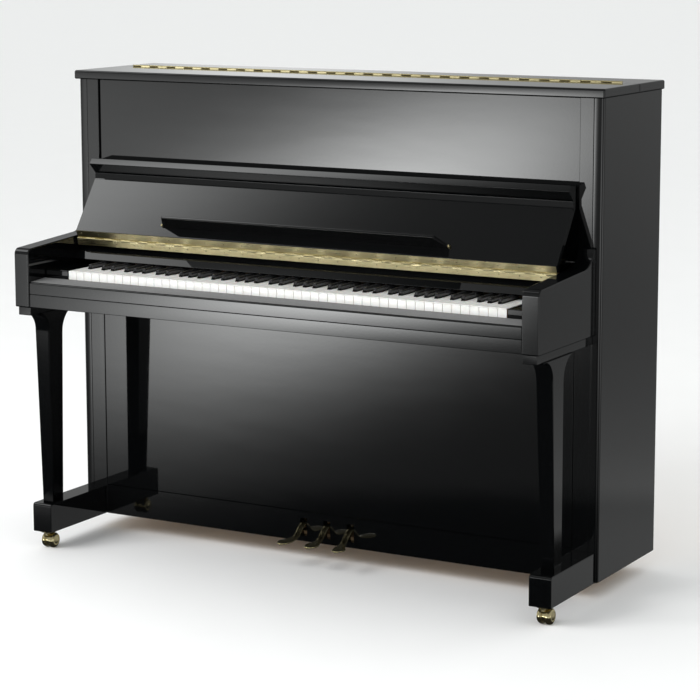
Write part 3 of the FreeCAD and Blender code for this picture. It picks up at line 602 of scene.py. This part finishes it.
# ---- keyboard ------------------------------------------------------
class PianoKeyBed(bpy.types.Operator):
    """Key bed, key slip, key blocks and the nameboard with the fallboard's strip."""
    bl_idname = "piano.key_bed"
    bl_label = "Key bed and slip"

    def execute(self, context):
        edge = context.scene.piano_case.edge
        low, high = corners("key_bed")
        case_front = corners("side_right")[0][1] - 0.0002
        bed = [block(low, (high[0], case_front, high[2]), edge),
               block((-0.645, case_front, low[2]), (0.680, high[1], high[2]), edge),
               block((-0.680, case_front, low[2]), (-0.645, 0.060, high[2]), edge)]
        polished("key_bed_board", "key_bed", bed)
        low, high = corners("key_slip")
        slip = [(low[1], low[2]), (high[1], low[2]), (high[1], high[2]), (low[1], high[2] - 0.0038)]
        slip = carried(slip, (edge, edge, 0.001, 0.004), low[0], high[0], edge, steps=5)
        front, back, thick = low[1] + 0.0045, high[1] - 0.001, 0.0005
        cloth = [(front, high[2] - 0.0036), (back, high[2] - 0.0002), (back, high[2] - 0.0002 + thick),
                 (front, high[2] - 0.0036 + thick)]
        cloth = carried(cloth, 0.0001, low[0] + 0.001, high[0] - 0.001, 0.0001, steps=1)
        finishes = [black_polish(), felt("slip_cloth", (0.006, 0.006, 0.007))]
        piece("key_slip_board", [(slip, 0), (cloth, 1)], finishes, "case", ["key_slip"])
        low, high = corners("key_blocks")
        cheek = block((0.612, low[1], low[2]), high, 0.003, ALONG_X, steps=5)
        polished("key_end_blocks", "key_blocks", [cheek, mirrored(cheek)])
        low, high = corners("nameboard")
        back, shelf_low, shelf_high, foot = -0.092, 0.771, 0.783, low[1]
        outline = [(-0.1280, high[2]), (-0.1254, 0.7795), (-0.1079, 0.7795), (foot, low[2]),
                   (foot + 0.0173, low[2]), (-0.0994, shelf_low), (high[1], shelf_low), (high[1], shelf_high),
                   (back, shelf_high), (back, high[2])]
        board = carried(outline, 0.0008, low[0], high[0], 0.0008)
        polished("name_board", "nameboard", [board])
        paint(wood("beech_long", inside("beech"), (1.1, 18, 18)), "key_frame")
        return {"FINISHED"}


def key_layout(keys, count=88, first=9):
    """For each key: its note, and the X limits of its head (None on a black key) and of its tail."""
    shifts = {1: -0.0025, 3: 0.0025, 6: -0.0035, 8: 0.0, 10: 0.0035}
    left, white, rows = -26 * keys.pitch, 0, []
    for number in range(first, first + count):
        note = number % 12
        if note in shifts:
            middle = left + white * keys.pitch + shifts[note]
            rows.append([note, None, (middle - keys.sharp / 2, middle + keys.sharp / 2)])
        else:
            start = left + white * keys.pitch
            rows.append([note, (start + keys.gap / 2, start + keys.pitch - keys.gap / 2), None])
            white += 1
    for i, row in enumerate(rows):
        if row[1]:
            low, high = row[1]
            if i and not rows[i - 1][1]:
                low = rows[i - 1][2][1] + keys.gap
            if i + 1 < count and not rows[i + 1][1]:
                high = rows[i + 1][2][0] - keys.gap
            row[2] = (low, high)
    return rows


def white_key(keys, head, tail, front, back, under, top):
    """A white key's covering (top and front) and its wooden stick."""
    split, rear, edge = front + keys.head, back - 0.238, keys.edge
    plan = [(head[0], front), (head[1], front)]
    plan += [(head[1], split), (tail[1], split)] if tail[1] < head[1] - 1e-5 else []
    plan += [(tail[1], rear), (tail[0], rear)]
    plan += [(tail[0], split), (head[0], split)] if tail[0] > head[0] + 1e-5 else []
    cover = carried(plan, edge * 1.2, top - keys.plate, top, edge, ALONG_Z, steps=3)
    face = block((head[0], front + 0.0006, under + 0.0005), (head[1], front + 0.0026, top - keys.plate * 0.7),
                 0.0005, ALONG_Z, steps=2)
    shy, wood_top, soft = 0.0003, top - keys.plate, 0.0004
    stick_head = block((head[0] + shy, front + 0.0024, under), (head[1] - shy, split - shy, wood_top), soft,
                       ALONG_Z, steps=2)
    stick = block((tail[0] + shy, split - 0.001, under), (tail[1] - shy, back, wood_top), soft, ALONG_Z,
                  steps=2)
    return [(cover, 0), (face, 0), (stick_head, 1), (stick, 1)]


def black_key(tail, front, back, under, white_top, top):
    """A black key's cap and its stick.

    Going up, the cap's outline narrows across and its front leans back, both in step with the height, and
    the last rings turn in round the crown.
    """
    rear, lean, edge = -0.109, 0.0060, 0.0017
    middle, foot = sum(tail) / 2, white_top - 0.002
    plan = [(tail[0], front), (tail[1], front), (tail[1], rear), (tail[0], rear)]
    t = np.linspace(0, np.pi / 2, 5)
    z = np.concatenate(([foot], top - edge + edge * np.sin(t)))
    inset = np.concatenate(([0.0], edge * (1 - np.cos(t))))
    share = ((z - foot) / (top - foot))[:, None]
    rings = moved_in(plan, 0.0024, inset, 4)
    x = middle + (rings[..., 0] - middle) * (1 - 0.14 * share)
    y = rings[..., 1] + lean * share ** 1.3 * (rear - rings[..., 1]) / (rear - front)
    cap = np.stack((x, y, np.broadcast_to(z[:, None], x.shape)), -1)
    shy, soft = 0.0002, 0.0004
    stick = block((tail[0] + shy, front + 0.002, under), (tail[1] - shy, back, foot), soft, ALONG_Z, steps=2)
    return [(cap, 0), (stick, 1)]


class PianoKeys(bpy.types.Operator):
    """The 88 keys, one piece for each of the twelve notes."""
    bl_idname = "piano.keys"
    bl_label = "Keys"

    def execute(self, context):
        keys = context.scene.piano_keys
        (_, front, under), (_, back, top) = corners("keys_c")
        crown = corners("keys_c_sharp")[1][2]
        stick = wood("key_wood", inside("spruce"), (18, 1.1, 18), turn=(0, 0, 0))
        rows = key_layout(keys)
        for note, name in enumerate(NOTES):
            parts, white = [], True
            for _, head, tail in (row for row in rows if row[0] == note):
                white = head is not None
                if white:
                    parts += white_key(keys, head, tail, front, back, under, top)
                else:
                    parts += black_key(tail, front + keys.head + 0.001, back, under, top, crown)
            finish, slot = (white_plastic(), "white_key") if white else (black_plastic(), "black_key")
            piece("key_set_" + name, parts, [finish, stick], "keys_" + name, ["keys_" + name])
        return {"FINISHED"}


# ---- fallboard -----------------------------------------------------
def fallboard_frame():
    """The open fallboard's axes, up the panel and out of its face, and a point of its hinge line."""
    lean = np.radians(34.8)
    up = np.array((0, np.sin(lean), np.cos(lean)))
    out = np.array((0, -np.cos(lean), np.sin(lean)))
    return up, out, np.array((0, -0.1294, 0.797))


class PianoFallboard(bpy.types.Operator):
    """The fallboard: its leaning panel and the lipped rail along its top."""
    bl_idname = "piano.fallboard"
    bl_label = "Fallboard"

    def execute(self, context):
        up, out, hinge = fallboard_frame()
        half = corners("fallboard_panel")[1][0]
        thick = 0.016
        foot, bevel, head = 0.004, 0.010, 0.165
        panel = carried([(foot, 0), (head, 0), (head, thick), (foot + bevel, thick)],
                        (0.001, 0.0003, 0.0003, 0.0012), -half, half, 0.001, (up, out, X), hinge)
        polished("fallboard_face", "fallboard_panel", [panel], "fallboard")
        back = corners("fallboard_rail")[1][1]
        foot, rise, root, heel = [(hinge + up * s + out * n)[1:]
                                  for s, n in ((head, thick), (head + 0.003, thick), (0.1978, 0), (head, 0))]
        hollow, lip, crest = (-0.0454, 0.9585), (-0.0710, 0.9832), (-0.0605, 0.9972)
        outline = [foot, rise, hollow, lip, crest, (back, 0.9925), root, heel]
        radii = (0.0002, 0.0020, 0.0030, 0.0015, 0.0025, 0.0020, 0.0010, 0.0002)
        rail = carried(outline, radii, -half, half, 0.0012, steps=5)
        polished("fallboard_nosing", "fallboard_rail", [rail], "fallboard")
        return {"FINISHED"}


class PianoMusicShelf(bpy.types.Operator):
    """The music shelf with slanted ends, square to the panel, its root rounded about the pivots."""
    bl_idname = "piano.music_shelf"
    bl_label = "Music shelf"

    def execute(self, context):
        up, out, hinge = fallboard_frame()
        case = context.scene.piano_case
        low, high = corners("music_shelf")
        axis = hinge + up * case.shelf_up + out * 0.0206 + X * (low[0] + high[0]) / 2
        half, thick = (high[0] - low[0]) / 2, 0.0036
        free = half - case.shelf_taper
        plan = [(-half, 0.0), (half, 0.0), (free, case.shelf_depth), (-free, case.shelf_depth)]
        board = carried(plan, (0.0018, 0.0018, 0.004, 0.004), -thick, thick, 0.0016, (X, out, np.cross(X, out)),
                        axis, 4)
        root = bar(axis - X * half, axis + X * half, thick, 0.001, 24)
        polished("music_shelf_board", "music_shelf", [board, root], "music_shelf")
        paint(brass("bracket_brass", (1, 1, 1), 0.1), "shelf_brackets")
        return {"FINISHED"}


# ---- hinges --------------------------------------------------------
def screw(point, out, radius, turn):
    """A slotted screw head: a low dome turned about its axis, with a dark bar laid across it as painted shade
    for the slot's groove.
    """
    u = unit(np.cross(out, X + 0.01 * Y))
    v = np.cross(out, u)
    r = radius
    profile = [(0.1 * r, 0.16 * r), (0.55 * r, 0.13 * r), (r, 0.02 * r), (r, -0.25 * r)]
    head = turned(profile, point, (u, v, out), 14)
    a = u * np.cos(turn) + v * np.sin(turn)
    b = np.cross(out, a)
    # The bar stands on the dome; its dark steel is painted shade in place of a groove cut into the head.
    slot = block((-0.8 * r, -0.13 * r, 0), (0.8 * r, 0.13 * r, 0.17 * r), 0.02 * r, steps=1)
    return [(head, 0), (point + slot @ np.stack((a, b, out)), 1)]


class PianoHinges(bpy.types.Operator):
    """Brass of the long hinges on the lid and the fallboard, with their screws."""
    bl_idname = "piano.hinges"
    bl_label = "Hinges and screws"

    def execute(self, context):
        metal = context.scene.piano_metal
        bright = brass("hinge_brass", (0.03, 1, 1), rough=0.25)
        paint(bright, "lid_hinge_front", "lid_hinge_rear", "fallboard_hinge_fixed", "fallboard_hinge_moving")
        up, out, hinge = fallboard_frame()
        # The second finish is dark steel laid on the screw slots as painted shade.
        finishes = [brass("screw_brass", (1, 1, 1), 0.06), steel("painted_shade_screw_slot", (0.05, 0.045, 0.04), 0.5, 0.7)]
        lid_top = corners("lid_hinge_rear")[0][2] + 0.0012
        lower = unit(np.array((0, -0.0149, -0.0026)))
        foot, bevel, thick, leaf, along = 0.004, 0.010, 0.016, 0.0012, 0.010
        rise, reach = np.array((bevel, thick)) / np.hypot(bevel, thick)
        upper = -up * reach + out * rise
        middle = hinge + up * (foot + along * rise) + out * along * reach + upper * leaf
        rows = (("fallboard_screws_low", "case", np.array((0, -0.1281, 0.7885)) + lower * 0.0001, lower, 0.675),
                ("fallboard_screws_high", "fallboard", middle, upper, 0.675),
                ("lid_screws_rear", "case", np.array((0, 0.173 + 0.0085, lid_top)), Z, 0.702),
                ("lid_screws_front", "lid", np.array((0, 0.173 - 0.0085, lid_top)), Z, 0.702))
        for name, body, line, face, half in rows:
            places = np.arange(-half + metal.screw_pitch / 4, half, metal.screw_pitch)
            turns = np.random.default_rng(7).uniform(0, np.pi, len(places))
            parts = []
            for x, turn in zip(places, turns):
                parts += screw(line + X * x, face, metal.screw_radius, turn)
            piece(name, parts, finishes, body)
        return {"FINISHED"}


# ---- pedals and casters --------------------------------------------
class PianoPedals(bpy.types.Operator):
    """Three brass pedals with their rock shafts, and the rods to the action."""
    bl_idname = "piano.pedals"
    bl_label = "Pedals"

    def execute(self, context):
        """The lever's section at each station along it is |x / w|^p + |z / h|^p = 1 with p = 2.6, and w, h
        and the section's middle run smoothly through the stations."""
        finishes = [brass("pedal_brass", (1, 0.04, 1)), wood("beech_long", inside("beech"), (1.1, 18, 18))]
        a = np.linspace(0, 2 * np.pi, 28, endpoint=False)
        power = 2 / 2.6
        ring = np.stack((np.sign(np.cos(a)) * np.abs(np.cos(a)) ** power,
                         np.sign(np.sin(a)) * np.abs(np.sin(a)) ** power), 1)
        head = np.linspace(-0.35, 0.995, 14)
        for index, name in enumerate(("left", "middle", "right")):
            side, axis_y = index - 1, 0.040 * (index + 1)
            x, rod_x = 0.068 * side, -0.689 + 0.017 * index
            # each station: y, height, half width, half thickness (all but y in mm), share of the sideways set
            stations = np.array([(axis_y, 100.0, 8.0, 3.4, 0), (0.004, 98.0, 8.0, 3.5, 0),
                                 (-0.020, 95.0, 8.0, 3.5, 0), (-0.034, 88.0, 8.0, 3.6, 0),
                                 (-0.047, 75.5, 8.0, 3.6, 0), (-0.058, 67.5, 8.2, 3.6, 0.06),
                                 (-0.070, 63.6, 9.6, 3.6, 0.3)])
            y_head = -0.092 - 0.030 * head
            tip = np.stack((y_head, 62.6 - 1.1 * head ** 2, 17 * np.sqrt(1 - head ** 2), 3.7 - 1.5 * head ** 4,
                            0.55 + 0.45 * np.clip((head + 0.35) / 0.5, 0, 1)), 1)
            line = np.concatenate((stations, tip[3:]))
            s = np.concatenate(([0], np.cumsum(np.linalg.norm(np.diff(line[:, :2] * (1, MM), axis=0), axis=1))))
            fine = np.linspace(0, s[-1], 60)
            y, z, w, h, share = [np.interp(fine, s, line[:, k]) for k in range(5)]
            z, w, h = z * MM, w * MM, h * MM
            smooth = np.ones(5) / 5
            z = np.concatenate((z[:2], np.convolve(z, smooth, "valid"), z[-2:]))
            middle = x + 0.011 * side * share
            slope = np.gradient(z, y)
            lift = h / np.sqrt(1 + slope ** 2)
            lever = np.stack((middle[:, None] + w[:, None] * ring[:, 0],
                              y[:, None] - (lift * slope)[:, None] * ring[:, 1],
                              z[:, None] + lift[:, None] * ring[:, 1]), -1)
            shaft = bar((rod_x - 0.008, axis_y, 0.1), (x + 0.016, axis_y, 0.1), 0.006, count=20)
            crank = block((rod_x - 0.005, axis_y + 0.006, 0.096), (rod_x + 0.005, axis_y + 0.053, 0.104),
                          0.001)
            hub = bar((rod_x - 0.005, axis_y, 0.1), (rod_x + 0.005, axis_y, 0.1), 0.0085, count=24)
            parts = [(lever, 0), (shaft, 1), (crank, 1), (hub, 1)]
            piece("pedal_lever_" + name, parts, finishes, "pedal_" + name, ["pedal_" + name])
        paint(wood("beech_upright", inside("beech")), "pedal_rod_left", "pedal_rod_middle", "pedal_rod_right")
        return {"FINISHED"}


class PianoCasters(bpy.types.Operator):
    """Twin brass wheels with round shoulders, and the casters' bodies."""
    bl_idname = "piano.casters"
    bl_label = "Casters"

    def execute(self, context):
        finish = brass("caster_brass", (1, 1, 1))
        t = np.linspace(0, np.pi / 2, 8)
        shoulder = [(11.5 + 8 * np.cos(k), 10.4 + 8 * np.sin(k)) for k in t]
        profile = np.array([(3.0, 5.4), (18.6, 5.4), (19.5, 6.3)] + shoulder +
                           [(9.6, 18.0), (8.8, 18.4), (5.4, 18.9), (1.0, 19.1)]) * MM
        for node in ("front_wheels_left", "front_wheels_right", "rear_wheels_left", "rear_wheels_right"):
            low, high = corners(node)
            centre = (low + high) / 2
            centre[2] = low[2] + 0.0195
            wheels = [turned(profile * (1, side), centre, ALONG_X, 48) for side in (-1, 1)]
            wheels.append(bar(centre - X * 0.006, centre + X * 0.006, 0.003))
            piece(node + "_brass", [(w, 0) for w in wheels], [finish], node, [node])
        paint(finish, "front_caster_left", "front_caster_right", "rear_caster_bodies")
        return {"FINISHED"}


# ---- back and inside -----------------------------------------------
class PianoBack(bpy.types.Operator):
    """Back posts and beams, soundboard, cast plate and bottom board."""
    bl_idname = "piano.back"
    bl_label = "Back, soundboard and plate"

    def execute(self, context):
        (_, _, floor), (half, back, top) = corners("back_frame")
        front, soft = 0.2405, 0.003
        beam_long = wood("beech_long", inside("beech"), (1.1, 18, 18))
        upright = wood("beech_upright", inside("beech"))
        parts = [(block((-half, front, 1.090), (half, back, top), soft), 0),
                 (block((-half, front, floor), (half, back, 0.150), soft), 0),
                 (block((-half, 0.192, 1.090), (half, front, 1.180), 0.001), 0)]
        parts += [(block((x - 0.034, 0.250, 0.150), (x + 0.034, back, 1.090), soft, ALONG_Z), 1)
                  for x in (-0.670, -0.335, 0, 0.335, 0.670)]
        piece("back_posts_and_beams", parts, [beam_long, upright], "case", ["back_frame"])
        paint(wood("spruce_board", inside("spruce"), (18, 18, 0.8), 22.0, (0, 0.19, 0), 0.30), "soundboard")
        paint(cast_bronze(), "iron_plate")
        paint(beam_long, "bottom_board")
        paint(copper_and_steel(), "strings")
        paint(steel("blued_steel", (0.30, 0.32, 0.37)), "tuning_pins")
        return {"FINISHED"}


class PianoAction(bpy.types.Operator):
    """Hammers, dampers, mute felt and the frame that carries them."""
    bl_idname = "piano.action"
    bl_label = "Action"

    def execute(self, context):
        maple = wood("action_maple", (0.66, 0.50, 0.32), (18, 18, 1.1))
        wool = felt("hammer_felt", inside("felt"))
        count = np.arange(88)
        places = -0.640 + 1.270 * count / 87
        half = 0.004
        y, z = 0.098, 0.880
        outline = np.array([(-10, 105), (6, 106), (20.6, 110.5), (20.6, 117.5), (6, 122), (-10, 123)])
        outline = outline * MM + (y, z)
        radii = np.array((1.2, 8, 3.2, 3.2, 8, 1.2)) * MM
        parts = [(block((-0.630, y - 0.012, z + 0.060), (0.630, y - 0.0045, z + 0.078), 0.001), 0)]
        for x in places:
            parts.append((carried(outline, radii, x - 0.0045, x + 0.0045, 0.001, steps=2), 1))
            parts.append((bar((x, y, z), (x, y, z + 0.110), 0.0026, count=8), 0))
            butt = block((x - half, y - 0.0035, z - 0.014), (x + half, y + 0.008, z + 0.008), 0.001, steps=1)
            parts.append((butt, 0))
        piece("hammer_set", parts, [maple, wool], "hammers", ["hammers"])
        y, z = 0.128, 0.815
        parts = [(block((-0.640, y - 0.004, z - 0.006), (0.560, y + 0.004, z + 0.006), 0.001), 0)]
        for x in places[:68]:
            parts.append((bar((x, y, z), (x, y, z + 0.090), 0.001, 0.0002, 6), 2))
            head = block((x - half, y - 0.001, z + 0.080), (x + half, y + 0.020, z + 0.105), 0.001, steps=1)
            pad = block((x - half, y + 0.020, z + 0.079), (x + half, y + 0.037, z + 0.106), 0.002, steps=2)
            parts += [(head, 0), (pad, 1)]
        piece("damper_set", parts, [maple, wool, steel()], "dampers", ["dampers"])
        paint(maple, "action_frame")
        paint(felt("mute_felt", inside("mute")), "mute_rail")
        return {"FINISHED"}


# ---- studio --------------------------------------------------------
SOFTBOXES = (
    # azimuth, elevation, half width, half height, tilt, brightness; in degrees as seen from the piano
    (-29.0, -7.2, 4.1, 3.2, 1.0, 13.0),
    (-37.0, -5.0, 7.0, 3.5, 0.0, 1.2),
    (150.0, -15.0, 25.0, 3.5, 0.0, 0.35),
    (-57.5, 46.0, 4.6, 14.0, 0.0, 4.1),
    (-148.5, 3.6, 4.0, 2.5, 0.0, 0.6),
    (95.0, -8.0, 16.0, 5.0, 0.0, 1.6),
    (-105.0, -8.0, 16.0, 5.0, 0.0, 1.6),
    (30.0, -7.0, 14.0, 5.0, 0.0, 2.0),
    (0.0, 80.0, 70.0, 14.0, 0.0, 0.15),
    (-78.0, 50.0, 14.0, 8.5, 0.0, 2.6),
)


def room(tree, ambient):
    """The room's light. Polished surfaces mirror a dim room with soft boxes; all else is lit evenly.

    Each box adds b exp(-((az - a - k (el - e)) / w)^2 - ((el - e) / h)^2) in azimuth and elevation.
    """
    def calc(operation, *values):
        return add(tree, "ShaderNodeMath", dict(enumerate(values)), operation=operation).outputs[0]

    direction = add(tree, "ShaderNodeTexCoord").outputs["Generated"]
    axes = add(tree, "ShaderNodeSeparateXYZ", {0: direction}).outputs
    degree = 180 / np.pi
    azimuth = calc("MULTIPLY", calc("ARCTAN2", axes["X"], calc("MULTIPLY", axes["Y"], -1.0)), degree)
    elevation = calc("MULTIPLY", calc("ARCSINE", axes["Z"]), degree)
    level = spread(tree, elevation, 0.02, 0.16, -13.9, -13.4)
    level = calc("ADD", level, spread(tree, elevation, 0.0, 0.20, -12.5, -4.0))
    level = calc("ADD", level, spread(tree, elevation, 0.0, -0.16, 20.0, 50.0))
    for a, e, w, h, k, b in SOFTBOXES:
        up = calc("SUBTRACT", elevation, e)
        across = calc("DIVIDE", calc("SUBTRACT", calc("SUBTRACT", azimuth, a), calc("MULTIPLY", up, k)), w)
        up = calc("DIVIDE", up, h)
        fall = calc("ADD", calc("MULTIPLY", across, across), calc("MULTIPLY", up, up))
        level = calc("MULTIPLY_ADD", calc("EXPONENT", calc("MULTIPLY", fall, -1.0)), b, level)
    glossy = add(tree, "ShaderNodeLightPath").outputs["Is Glossy Ray"]
    even = calc("MULTIPLY", calc("SUBTRACT", 1.0, glossy), ambient)
    return calc("ADD", calc("MULTIPLY", glossy, level), even)


class PianoStudio(bpy.types.Operator):
    """Pale floor, soft light and the camera."""
    bl_idname = "piano.studio"
    bl_label = "Studio"

    def execute(self, context):
        studio, scene = context.scene.piano_studio, context.scene
        scene.view_settings.view_transform = "Standard"
        world = bpy.data.worlds.new("room")
        world.use_nodes = True
        tree = world.node_tree
        backdrop = tree.nodes["Background"]
        tree.links.new(room(tree, studio.ambient), backdrop.inputs["Strength"])
        backdrop.inputs["Color"].default_value = (0.985, 1.0, 0.995, 1)
        scene.world = world

        wide = 120.0
        mesh = bpy.data.meshes.new("floor")
        around = [(-wide, -wide, 0), (wide, -wide, 0), (wide, wide, 0), (-wide, wide, 0)]
        mesh.from_pydata(around, [], [(0, 1, 2, 3)])
        pale = np.array(studio.floor)
        mesh.materials.append(surface(
            "floor_paint", lambda t: mixed(t, noise(t, 3.0), pale, pale * 0.985),
            lambda t: spread(t, noise(t, 8.0), 0.6, 0.7), IOR=1.3))
        floor = bpy.data.objects.new("floor", mesh)
        floor.visible_glossy = False
        scene.collection.objects.link(floor)

        light = bpy.data.lights.new("key_light", "AREA")
        light.shape, light.size, light.size_y, light.energy = "RECTANGLE", 3.0, 2.2, studio.key_power
        lamp = bpy.data.objects.new("key_light", light)
        place, aim = Vector((-2.6, -3.4, 3.3)), Vector((0, 0, 0.7))
        facing = (aim - place).to_track_quat("-Z", "Y").to_matrix().to_4x4()
        lamp.matrix_world = Matrix.Translation(place) @ facing
        lamp.visible_camera = lamp.visible_glossy = False
        scene.collection.objects.link(lamp)

        camera = bpy.data.cameras.new("camera")
        camera.lens, camera.sensor_width, camera.shift_y, camera.clip_end = studio.lens, 36.0, -0.0714, 600.0
        view = bpy.data.objects.new("camera", camera)
        yaw, pitch, roll = np.radians((29.5, -9.03, -0.09))
        look = Vector((-np.sin(yaw) * np.cos(pitch), np.cos(yaw) * np.cos(pitch), np.sin(pitch)))
        turn = look.to_track_quat("-Z", "Y").to_matrix().to_4x4() @ Matrix.Rotation(roll, 4, "Z")
        view.matrix_world = Matrix.Translation((2.9269, -5.0737, 1.6)) @ turn
        scene.collection.objects.link(view)
        scene.camera = view
        return {"FINISHED"}


OPERATORS = (PianoSides, PianoPanels, PianoLid, PianoArms, PianoLegs, PianoToes, PianoKeyBed, PianoKeys,
             PianoFallboard, PianoMusicShelf, PianoHinges, PianoPedals, PianoCasters, PianoBack, PianoAction,
             PianoStudio)


class PianoPanel(bpy.types.Panel):
    """Lists the piano's parts and their settings."""
    bl_idname = "VIEW3D_PT_piano"
    bl_label = "Upright piano"
    bl_space_type = "VIEW_3D"
    bl_region_type = "UI"
    bl_category = "Piano"

    def draw(self, context):
        for operator in OPERATORS:
            self.layout.operator(operator.bl_idname)
        for name, group in SETTINGS.items():
            box = self.layout.box()
            box.label(text=group.__doc__)
            for key in group.__annotations__:
                box.prop(getattr(context.scene, name), key)


def register():
    """Adds the settings, the operators and the panel."""
    for name, group in SETTINGS.items():
        bpy.utils.register_class(group)
        setattr(bpy.types.Scene, name, bpy.props.PointerProperty(type=group))
    for kind in (*OPERATORS, PianoPanel):
        bpy.utils.register_class(kind)


def unregister():
    """Takes them away again."""
    for kind in (PianoPanel, *reversed(OPERATORS)):
        bpy.utils.unregister_class(kind)
    for name, group in reversed(SETTINGS.items()):
        delattr(bpy.types.Scene, name)
        bpy.utils.unregister_class(group)


def main():
    """Builds everything."""
    register()
    for operator in OPERATORS:
        group, name = operator.bl_idname.split(".")
        getattr(getattr(bpy.ops, group), name)()
    bpy.context.view_layer.update()


if __name__ == "__main__":
    main()
